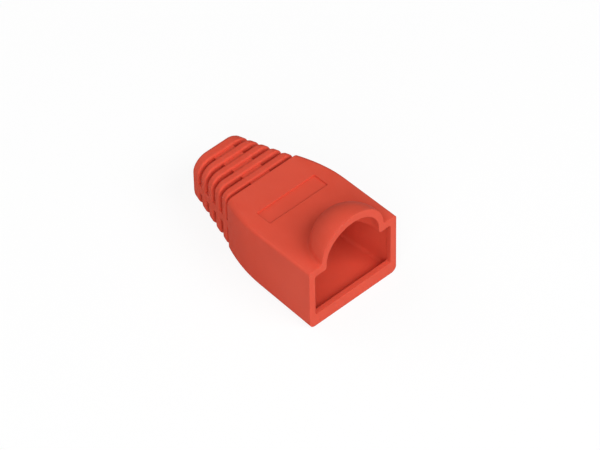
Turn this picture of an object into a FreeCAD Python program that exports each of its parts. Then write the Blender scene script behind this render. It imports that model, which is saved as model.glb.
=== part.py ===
"""Strain relief boot for an 8P8C (RJ45) modular plug: one soft moulding, in millimetres.

The plug enters the mouth, which faces -Y. The cable leaves through the ribbed neck, along +Y.
The boot rests on its flat underside. The origin is the bottom centre of its bounding box.
"""
import FreeCAD
import Part
import math
import os
from FreeCAD import Vector

# What the boot fits
plug_width = 11.68
plug_height = 6.60
cable_diameter = 5.60
plug_side_clearance = 0.16
plug_height_clearance = 0.05
cable_clearance = 0.10

# Shell of the body. The pocket starts behind a thin lip. Angles are in degrees.
side_wall = 0.90
roof_wall = 1.15
floor_wall = 0.75
sill_height = 1.90
lip_depth = 0.70
lip_step = 0.15
cavity_draft = 4.8
straight_length = 9.00
body_length = 15.86
body_end_width = 11.35
body_end_height = 8.87
funnel_half_angle = 48.0

# Rounding of the body's long edges, at the mouth and at the neck
bottom_round = 0.80
top_round_front = 0.40
top_round_rear = 0.80
mouth_corner_round = 0.30
cavity_round = 0.50

# Hood over the plug's latch. The land is the level roof behind its hollow's rounded edge.
hood_radius = 4.90
hood_wall = 0.75
hood_straight = 0.30
hood_fillet = 0.35
hollow_straight = 0.60
hollow_round = 0.40
hollow_land = 0.35

# Label field on the roof, its front edge measured from the mouth
label_length = 9.20
label_width = 2.40
label_depth = 0.22
label_front = 9.40
label_round = 0.15

# Ribbed neck. The shoulder is its step in from the body, and its walls are those at its end.
gap_count = 5
gap_width = 0.62
ring_thickness = 1.01
end_ring_thickness = 1.42
neck_shoulder = 0.17
neck_axis_height = 4.20
neck_end_side_wall = 0.92
neck_end_top_wall = 0.75
neck_round_front = 0.85
neck_round_rear = 2.20
ring_edge_round = 0.20
end_edge_round = 0.35
round_steps = 2
roof_web_width = 3.00
side_web_height = 1.25
roof_web_recess = 0.32
side_web_recess = 0.03

# Worked out from the sizes above
mouth_width = plug_width + 2 * plug_side_clearance
mouth_height = plug_height + plug_height_clearance
width = mouth_width + 2 * side_wall
roof_underside = sill_height + mouth_height
height = roof_underside + roof_wall
bore_radius = cable_diameter / 2 + cable_clearance
ring_pitch = gap_width + ring_thickness
neck_length = gap_count * ring_pitch - ring_thickness + end_ring_thickness
length = body_length + neck_length
throat = body_length - side_wall
hollow_radius = hood_radius - hood_wall
cavity_level_length = hollow_straight + hollow_radius + hollow_round + hollow_land
beyond = 2 * length


def rounded_section(y, half_width, bottom, top, bottom_round, top_round):
    """Rounded rectangle across the boot at y, as a wire of four sides and four corner arcs."""
    centres = [
        (half_width - top_round, top - top_round, top_round),
        (top_round - half_width, top - top_round, top_round),
        (bottom_round - half_width, bottom + bottom_round, bottom_round),
        (half_width - bottom_round, bottom + bottom_round, bottom_round),
    ]
    arcs = []
    for quarter, (x, z, radius) in enumerate(centres):
        turns = [math.pi / 2 * (quarter + part) for part in (0, 1 / 2, 1)]
        arcs.append([
            Vector(x + radius * math.cos(turn), y, z + radius * math.sin(turn)) for turn in turns
        ])
    edges = []
    for points, following in zip(arcs, arcs[1:] + arcs[:1]):
        edges.append(Part.Arc(*points).toShape())
        edges.append(Part.makeLine(points[2], following[0]))
    return Part.Wire(edges)


def loft(*wires):
    """Solid with straight sides from each section to the next."""
    return Part.makeLoft(list(wires), True, True)


def tangent_arc(start, heading, end):
    """Arc that leaves start along the unit vector heading and ends at end."""
    chord = end - start
    turn = heading.getAngle(chord)
    sagitta = chord.Length / 2 * math.tan(turn / 2)
    outward = heading * chord.Length - chord * math.cos(turn)
    outward.normalize()
    return Part.Arc(start, start + chord / 2 + outward * sagitta, end).toShape()


def plan_block():
    """Body outline seen from above: parallel sides that curve in towards the neck."""
    half = width / 2
    end_half = body_end_width / 2
    corners = [
        Vector(-half, 0, 0), Vector(half, 0, 0), Vector(half, straight_length, 0),
        Vector(end_half, body_length, 0), Vector(-end_half, body_length, 0),
        Vector(-half, straight_length, 0),
    ]
    ahead = Vector(0, 1, 0)
    outline = Part.Wire([
        Part.makeLine(corners[0], corners[1]),
        Part.makeLine(corners[1], corners[2]),
        tangent_arc(corners[2], ahead, corners[3]),
        Part.makeLine(corners[3], corners[4]),
        tangent_arc(corners[5], ahead, corners[4]),
        Part.makeLine(corners[5], corners[0]),
    ])
    return Part.Face(outline).extrude(Vector(0, 0, height))


def side_block(lowered=0.0):
    """Body outline seen from the side: flat underside, roof that falls evenly to the neck."""
    outline = Part.makePolygon([
        Vector(-width, 0, 0), Vector(-width, 0, height - lowered),
        Vector(-width, body_length, body_end_height - lowered), Vector(-width, body_length, 0),
        Vector(-width, 0, 0),
    ])
    return Part.Face(outline).extrude(Vector(2 * width, 0, 0))


def long_edges(shape, side, on_roof):
    """The two edges, straight then curved, that run from the mouth to the neck along one corner."""
    found = []
    for edge in shape.Edges:
        ends = [vertex.Point for vertex in edge.Vertexes]
        if (abs(ends[0].y - ends[-1].y) > side_wall
                and all(end.x * side > 0 for end in ends)
                and all((end.z > height / 2) == on_roof for end in ends)):
            found.append(edge)
    return sorted(found, key=lambda edge: edge.CenterOfMass.y)


def body_block():
    """Solid body with its long edges rounded, those of the roof more so where they near the neck."""
    block = plan_block().common(side_block())
    for side in (-1, 1):
        block = block.makeFillet(bottom_round, long_edges(block, side, False))
        roof_edges = long_edges(block, side, True)
        ends = [vertex.Point.y for vertex in roof_edges[0].Vertexes]
        radii = (top_round_front, top_round_rear)
        block = block.makeFillet(*(radii if ends[0] < ends[-1] else radii[::-1]), roof_edges)
    return block


def dome(radius, centre_height, straight):
    """Cylinder from the mouth plane with a spherical end, turned about its own axis."""
    low = centre_height - radius
    rear = straight + radius
    bulge = radius * math.sqrt(0.5)
    corners = [
        Vector(0, 0, centre_height), Vector(0, 0, low), Vector(0, straight, low),
        Vector(0, rear, centre_height),
    ]
    mid = Vector(0, straight + bulge, centre_height - bulge)
    profile = Part.Wire([
        Part.makeLine(corners[0], corners[1]),
        Part.makeLine(corners[1], corners[2]),
        Part.Arc(corners[2], mid, corners[3]).toShape(),
        Part.makeLine(corners[3], corners[0]),
    ])
    return Part.Face(profile).revolve(corners[0], Vector(0, 1, 0), 360)


def hooded_body():
    """Body with the hood on its roof, blended where they meet."""
    above_cavity = Part.makeBox(beyond, beyond, beyond, Vector(-beyond / 2, 0, roof_underside))
    hood = dome(hood_radius, height, hood_straight).common(above_cavity)
    body = body_block().fuse(hood).removeSplitter()
    reach = hood_radius + hood_fillet
    crease = [
        edge for edge in body.Edges
        if edge.BoundBox.YLength > hood_straight / 2
        and edge.BoundBox.YMax < hood_straight + reach
        and max(edge.BoundBox.XMax, -edge.BoundBox.XMin) < reach
        and edge.BoundBox.ZMin > roof_underside
        and edge.BoundBox.ZLength < roof_wall / 2
    ]
    return body.makeFillet(hood_fillet, crease)


def label_recess():
    """Shallow field that follows the roof's slope at one depth."""
    field = Part.makeBox(
        label_length, label_width, height, Vector(-label_length / 2, label_front, height / 2)
    )
    upright = [edge for edge in field.Edges if edge.BoundBox.ZLength > height / 2]
    return field.makeFillet(label_round, upright).cut(side_block(lowered=label_depth))


def cavity():
    """Pocket for the plug: it narrows towards the neck and closes on the bore along a cone."""
    half = mouth_width / 2 + lip_step
    rear_half = half - (throat - lip_depth) * math.tan(math.radians(cavity_draft))
    rear_top = roof_underside - (throat - cavity_level_length) * math.tan(math.radians(cavity_draft))
    plan = Part.makePolygon([
        Vector(-half, lip_depth, floor_wall), Vector(half, lip_depth, floor_wall),
        Vector(rear_half, throat, floor_wall), Vector(-rear_half, throat, floor_wall),
        Vector(-half, lip_depth, floor_wall),
    ])
    side = Part.makePolygon([
        Vector(-half, lip_depth, floor_wall), Vector(-half, lip_depth, roof_underside),
        Vector(-half, cavity_level_length, roof_underside), Vector(-half, throat, rear_top),
        Vector(-half, throat, floor_wall), Vector(-half, lip_depth, floor_wall),
    ])
    pocket = Part.Face(plan).extrude(Vector(0, 0, height)).common(
        Part.Face(side).extrude(Vector(2 * half, 0, 0))
    )
    corners = [
        edge for edge in pocket.Edges
        if edge.BoundBox.YLength > cavity_round and edge.BoundBox.XLength < half
    ]
    pocket = pocket.makeFillet(cavity_round, corners)
    run = throat - lip_depth
    wide = bore_radius + run * math.tan(math.radians(funnel_half_angle))
    funnel = Part.makeCone(
        wide, bore_radius, run, Vector(0, lip_depth, neck_axis_height), Vector(0, 1, 0)
    )
    return pocket.common(funnel)


def mouth():
    """Opening through the rim: the plug's own section, above the sill."""
    opening = rounded_section(-side_wall, mouth_width / 2, sill_height, roof_underside,
                              mouth_corner_round, mouth_corner_round)
    return Part.Face(opening).extrude(Vector(0, side_wall + lip_depth, 0))


def hood_hollow():
    """Space for the latch: a dome inside the hood, open downwards to the plug."""
    centre_height = height - (roof_wall - hood_wall)
    base = sill_height + mouth_height / 2
    drop = centre_height - base
    slot = Part.makeBox(2 * hollow_radius, hollow_straight, drop, Vector(-hollow_radius, 0, base))
    end = Part.makeCylinder(hollow_radius, drop, Vector(0, hollow_straight, base))
    return dome(hollow_radius, centre_height, hollow_straight).fuse([slot, end])


def rounded_hollow_edge(solid):
    """Rounds the edge where the hood's hollow opens through the roof's underside."""
    lowest = roof_underside - roof_wall / 2
    rim = [
        edge for edge in solid.Edges
        if edge.BoundBox.ZMax < roof_underside + hollow_round / 2
        and edge.BoundBox.ZMin > lowest
        and edge.BoundBox.YMax < cavity_level_length
        and all(
            abs(math.hypot(end.X, max(end.Y - hollow_straight, 0)) - hollow_radius) < hollow_round / 10
            for end in edge.Vertexes
        )
    ]
    return solid.makeFillet(hollow_round, rim)


def sleeve_section(y, inset):
    """Outline of the neck at y, drawn in by an inset. It tapers and gets rounder towards its end."""
    along = (y - body_length) / neck_length
    root_half = body_end_width / 2 - neck_shoulder
    end_half = bore_radius + neck_end_side_wall
    end_rise = bore_radius + neck_end_top_wall
    root_top = body_end_height - neck_shoulder / 2
    half = root_half + (end_half - root_half) * along
    bottom = (neck_axis_height - end_rise) * along
    top = root_top + (neck_axis_height + end_rise - root_top) * along
    radius = neck_round_front + (neck_round_rear - neck_round_front) * along - inset
    return rounded_section(y, half - inset, bottom + inset, top - inset, radius, radius)


def webs():
    """Keels that join the rings: two all but flush at the sides, two sunk above and below."""
    end = length - end_ring_thickness / 2
    keels = []
    for recess, wide, tall in (
        (side_web_recess, beyond, side_web_height), (roof_web_recess, roof_web_width, beyond),
    ):
        sleeve = loft(sleeve_section(body_length, recess), sleeve_section(end, recess))
        keels.append(sleeve.common(Part.makeBox(
            wide, neck_length, tall, Vector(-wide / 2, body_length, neck_axis_height - tall / 2)
        )))
    return keels[0].fuse(keels[1])


def ring(y_start, y_end, start_round, end_round):
    """One rib of the neck, with its outer edges rounded in a few even steps."""
    turns = [math.pi / 2 * step / round_steps for step in range(round_steps + 1)]
    rise = [
        sleeve_section(y_start + start_round * (1 - math.cos(turn)), start_round * (1 - math.sin(turn)))
        for turn in turns
    ]
    fall = [
        sleeve_section(y_end - end_round * (1 - math.cos(turn)), end_round * (1 - math.sin(turn)))
        for turn in reversed(turns)
    ]
    return loft(*rise, *fall)


def neck():
    """Ribs along the taper, the last one longer, all carried by the webs."""
    ribs = []
    for index in range(gap_count):
        start = body_length + index * ring_pitch + gap_width
        last = index == gap_count - 1
        end = length if last else start + ring_thickness
        ribs.append(ring(start, end, ring_edge_round, end_edge_round if last else ring_edge_round))
    return webs().fuse(ribs)


def boot():
    """Whole moulding: body, hood and neck made one, then hollowed and set about its centre."""
    bore = Part.makeCylinder(
        bore_radius, beyond, Vector(0, throat, neck_axis_height), Vector(0, 1, 0)
    )
    solid = hooded_body().fuse(neck()).removeSplitter()
    solid = rounded_hollow_edge(solid.cut([cavity(), mouth(), hood_hollow(), bore, label_recess()]))
    solid.translate(Vector(0, -length / 2, 0))
    return solid


def main():
    os.makedirs("parts", exist_ok=True)
    shape = boot()
    shape.exportStep("parts/boot.step")
    print(f"boot: {len(shape.Solids)} solid, {shape.Volume:.1f} mm3, valid {shape.isValid()}")


main()
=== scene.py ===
"""Looks of the strain relief boot: moulded soft PVC on a pale sweep, under three soft lamps."""
import math

import bpy
from mathutils import Matrix, Vector

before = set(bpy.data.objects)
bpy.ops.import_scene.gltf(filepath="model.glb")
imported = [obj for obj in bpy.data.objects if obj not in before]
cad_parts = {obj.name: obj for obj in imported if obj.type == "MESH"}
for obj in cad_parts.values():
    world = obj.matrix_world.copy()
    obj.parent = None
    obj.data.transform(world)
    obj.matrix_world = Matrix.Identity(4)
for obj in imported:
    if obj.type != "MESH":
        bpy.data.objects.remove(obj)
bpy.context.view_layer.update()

# Lengths are in metres and angles in degrees. Azimuth 0 is in front of the mouth.

# Camera, to the left of the mouth and above it. Its lens and sensor are in millimetres.
# The target lies TARGET_IN_VIEW right of the picture's middle and above it.
AZIMUTH = -41.113
ELEVATION = 47.673
ROLL = 1.282
DISTANCE = 0.46846
LENS = 235.68
SENSOR_WIDTH = 36.0
TARGET = Vector((0.0, -0.00021, 0.004))
TARGET_IN_VIEW = (-0.0017684, 0.0003931)
NEAREST = 0.01
FURTHEST = 20.0

# Soft PVC. Colours go from deep to pale at random, with a painted highlight along the outer edges.
# Scales are of noise, per metre.
PVC_DEEP = (0.700, 0.0815, 0.0465, 1.0)
PVC_PALE = (0.750, 0.0900, 0.0520, 1.0)
# Paler colour of the painted highlight along outer edges, and the share of it there.
PVC_EDGE_HIGHLIGHT = (0.80, 0.123, 0.078, 1.0)
EDGE_HIGHLIGHT_SHARE = 0.35
MOTTLE_SCALE = 160.0
PEEL_SCALE = 900.0
PEEL_HEIGHT = 0.000012
GRAIN_SCALE = 5200.0
GRAIN_HEIGHT = 0.000006
EDGE_ROUND = 0.00010

# Sweep: floor, bend and wall. The floor lies just under the boot, so that no two faces coincide.
SWEEP_HALF_WIDTH = 1.2
SWEEP_REACH = 1.0
SWEEP_HEIGHT = 1.4
SWEEP_BEND = 0.5
SWEEP_STEPS = 24
FLOOR_GAP = 0.00002
TINT_SCALE = 60.0
GREY_DEEP = (0.58, 0.58, 0.58, 1.0)
GREY_PALE = (0.60, 0.60, 0.60, 1.0)
WHITE = (1.0, 1.0, 1.0, 1.0)
SHARE_SEEN_WHITE = 0.88

# Lamps: azimuth, elevation, diameter and power in watts.
LAMPS = {
    "right": (16, 46, 0.40, 2.15),
    "left": (-48, 30, 0.50, 2.05),
    "back": (-150, 50, 0.60, 1.0),
}
LAMP_DISTANCE = 0.6
LAMP_TARGET = Vector((0.0, 0.0, 0.004))
WORLD_STRENGTH = 0.14


class Nodes:
    """Short way to build one material's node tree."""

    def __init__(self, name):
        self.material = bpy.data.materials.new(name)
        self.material.use_nodes = True
        self.tree = self.material.node_tree
        self.tree.nodes.clear()
        self.output = self.tree.nodes.new("ShaderNodeOutputMaterial")

    def add(self, kind, inputs=None, **settings):
        """New node with these settings. Each input is linked to a socket or set to a value."""
        node = self.tree.nodes.new(kind)
        for key, value in settings.items():
            setattr(node, key, value)
        for key, value in (inputs or {}).items():
            if isinstance(value, bpy.types.NodeSocket):
                self.tree.links.new(value, node.inputs[key])
            else:
                node.inputs[key].default_value = value
        return node

    def math(self, operation, first, second):
        """One value made of two, either of which may be a plain number."""
        return self.add("ShaderNodeMath", {0: first, 1: second}, operation=operation).outputs[0]

    def noise(self, position, scale, detail=2.0, roughness=0.5):
        """Noise that mostly stays between 0.3 and 0.7."""
        return self.add(
            "ShaderNodeTexNoise",
            {"Vector": position, "Scale": scale, "Detail": detail, "Roughness": roughness},
        ).outputs["Fac"]

    def spread(self, value, to_low, to_high, low=0.3, high=0.7):
        """Value stretched from one range, a noise's unless it is given, to another."""
        return self.add(
            "ShaderNodeMapRange",
            {"Value": value, "From Min": low, "From Max": high, "To Min": to_low, "To Max": to_high},
        ).outputs["Result"]

    def blend(self, factor, first, second):
        """Mix of two colours. The node's sockets for colours are known by number."""
        inputs = {0: factor, 6: first, 7: second}
        return self.add("ShaderNodeMix", inputs, data_type="RGBA").outputs[2]

    def finish(self, shader):
        """The material, with this shader as its surface."""
        self.tree.links.new(shader.outputs[0], self.output.inputs["Surface"])
        return self.material


def soft_pvc():
    """Satin red-orange PVC: slight mottling, a painted highlight that pales the edges, fine grain
    over orange peel.
    """
    n = Nodes("soft_pvc")
    position = n.add("ShaderNodeTexCoord").outputs["Object"]
    grain = n.noise(position, GRAIN_SCALE, detail=3.0, roughness=0.6)
    peel = n.noise(position, PEEL_SCALE)
    mottle = n.noise(position, MOTTLE_SCALE, detail=3.0, roughness=0.55)

    # Pointiness is 0.5 on flat faces and more along outer edges, where the colour is paled into a
    # painted highlight.
    pointiness = n.add("ShaderNodeNewGeometry").outputs["Pointiness"]
    edge_highlight = n.spread(pointiness, 0.0, 1.0, low=0.52, high=0.60)
    base = n.blend(n.spread(mottle, 0.0, 1.0), PVC_DEEP, PVC_PALE)
    colour = n.blend(n.math("MULTIPLY", edge_highlight, EDGE_HIGHLIGHT_SHARE), base, PVC_EDGE_HIGHLIGHT)

    roughness = n.math("ADD", n.spread(grain, 0.52, 0.64), n.spread(mottle, -0.03, 0.03))
    height = n.math(
        "ADD", n.math("MULTIPLY", grain, GRAIN_HEIGHT), n.math("MULTIPLY", peel, PEEL_HEIGHT)
    )
    rounded = n.add("ShaderNodeBevel", {"Radius": EDGE_ROUND}, samples=6).outputs["Normal"]
    bump = n.add(
        "ShaderNodeBump", {"Strength": 0.6, "Distance": 1.0, "Height": height, "Normal": rounded}
    ).outputs["Normal"]
    return n.finish(n.add("ShaderNodeBsdfPrincipled", {
        "Base Color": colour,
        "Roughness": roughness,
        "Normal": bump,
        "IOR": 1.5,
        "Specular IOR Level": 0.05,
        "Subsurface Weight": 0.12,
        "Subsurface Radius": (1.0, 0.25, 0.12),
        "Subsurface Scale": 0.0006,
    }))


def backdrop():
    """Matt grey that the camera sees as white, save for the boot's faint shadow."""
    n = Nodes("backdrop")
    position = n.add("ShaderNodeTexCoord").outputs["Object"]
    camera_ray = n.add("ShaderNodeLightPath").outputs["Is Camera Ray"]
    tint = n.spread(n.noise(position, TINT_SCALE), 0.0, 1.0)
    grey = n.blend(tint, GREY_DEEP, GREY_PALE)
    matt = n.add("ShaderNodeBsdfDiffuse", {"Color": n.blend(camera_ray, grey, WHITE)})
    glow = n.add("ShaderNodeEmission", {"Color": WHITE, "Strength": 1.0})
    share = n.math("MULTIPLY", camera_ray, SHARE_SEEN_WHITE)
    return n.finish(n.add("ShaderNodeMixShader", {0: share, 1: matt.outputs[0], 2: glow.outputs[0]}))


def sweep():
    """Floor that curves up into a wall well behind the boot."""
    bend_start = SWEEP_REACH - SWEEP_BEND
    profile = [(-SWEEP_REACH, 0.0), (bend_start, 0.0)]
    for step in range(1, SWEEP_STEPS + 1):
        turn = math.pi / 2 * step / SWEEP_STEPS
        y = bend_start + SWEEP_BEND * math.sin(turn)
        z = SWEEP_BEND - SWEEP_BEND * math.cos(turn)
        profile.append((y, z))
    profile.append((SWEEP_REACH, SWEEP_HEIGHT))

    sides = (-SWEEP_HALF_WIDTH, SWEEP_HALF_WIDTH)
    verts = [(x, y, z - FLOOR_GAP) for y, z in profile for x in sides]
    faces = [(a, a + 1, a + 3, a + 2) for a in range(0, len(verts) - 2, 2)]
    mesh = bpy.data.meshes.new("floor")
    mesh.from_pydata(verts, [], faces)
    mesh.polygons.foreach_set("use_smooth", [True] * len(faces))
    mesh.materials.append(backdrop())
    floor = bpy.data.objects.new("floor", mesh)
    floor.rotation_euler = (0.0, 0.0, math.radians(AZIMUTH))
    bpy.context.scene.collection.objects.link(floor)


def direction(azimuth, elevation):
    """Unit vector from the boot to where it is seen or lit from."""
    turn, rise = math.radians(azimuth), math.radians(elevation)
    return Vector((
        math.sin(turn) * math.cos(rise), -math.cos(turn) * math.cos(rise), math.sin(rise)
    ))


def camera():
    """Long-lens camera, slightly rolled, with the boot a little off the picture's middle."""
    back = direction(AZIMUTH, ELEVATION)
    level_right = Vector((0, 0, 1)).cross(back).normalized()
    level_up = back.cross(level_right)
    roll = math.radians(ROLL)
    right = level_right * math.cos(roll) - level_up * math.sin(roll)
    up = level_right * math.sin(roll) + level_up * math.cos(roll)
    place = TARGET + back * DISTANCE - right * TARGET_IN_VIEW[0] - up * TARGET_IN_VIEW[1]

    data = bpy.data.cameras.new("camera")
    data.lens = LENS
    data.sensor_width = SENSOR_WIDTH
    data.clip_start = NEAREST
    data.clip_end = FURTHEST
    view = bpy.data.objects.new("camera", data)
    axes = Matrix((right, up, back)).transposed()
    view.matrix_world = Matrix.Translation(place) @ axes.to_4x4()
    bpy.context.scene.collection.objects.link(view)
    bpy.context.scene.camera = view


def lamp(name, azimuth, elevation, diameter, power):
    """Soft disk lamp that points at the boot."""
    data = bpy.data.lights.new(name, "AREA")
    data.shape = "DISK"
    data.size = diameter
    data.energy = power
    light = bpy.data.objects.new(name, data)
    light.location = direction(azimuth, elevation) * LAMP_DISTANCE
    light.rotation_mode = "QUATERNION"
    light.rotation_quaternion = (LAMP_TARGET - light.location).to_track_quat("-Z", "Y")
    bpy.context.scene.collection.objects.link(light)


def lighting():
    """Low even light from the world, and the lamps."""
    world = bpy.data.worlds.new("studio")
    world.use_nodes = True
    background = world.node_tree.nodes["Background"]
    background.inputs["Color"].default_value = WHITE
    background.inputs["Strength"].default_value = WORLD_STRENGTH
    bpy.context.scene.world = world
    for name, values in LAMPS.items():
        lamp(name, *values)


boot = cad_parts["boot"]
pvc = soft_pvc()
for slot in boot.material_slots:
    slot.material = pvc

camera()
sweep()
lighting()
bpy.context.scene.view_settings.view_transform = "Standard"
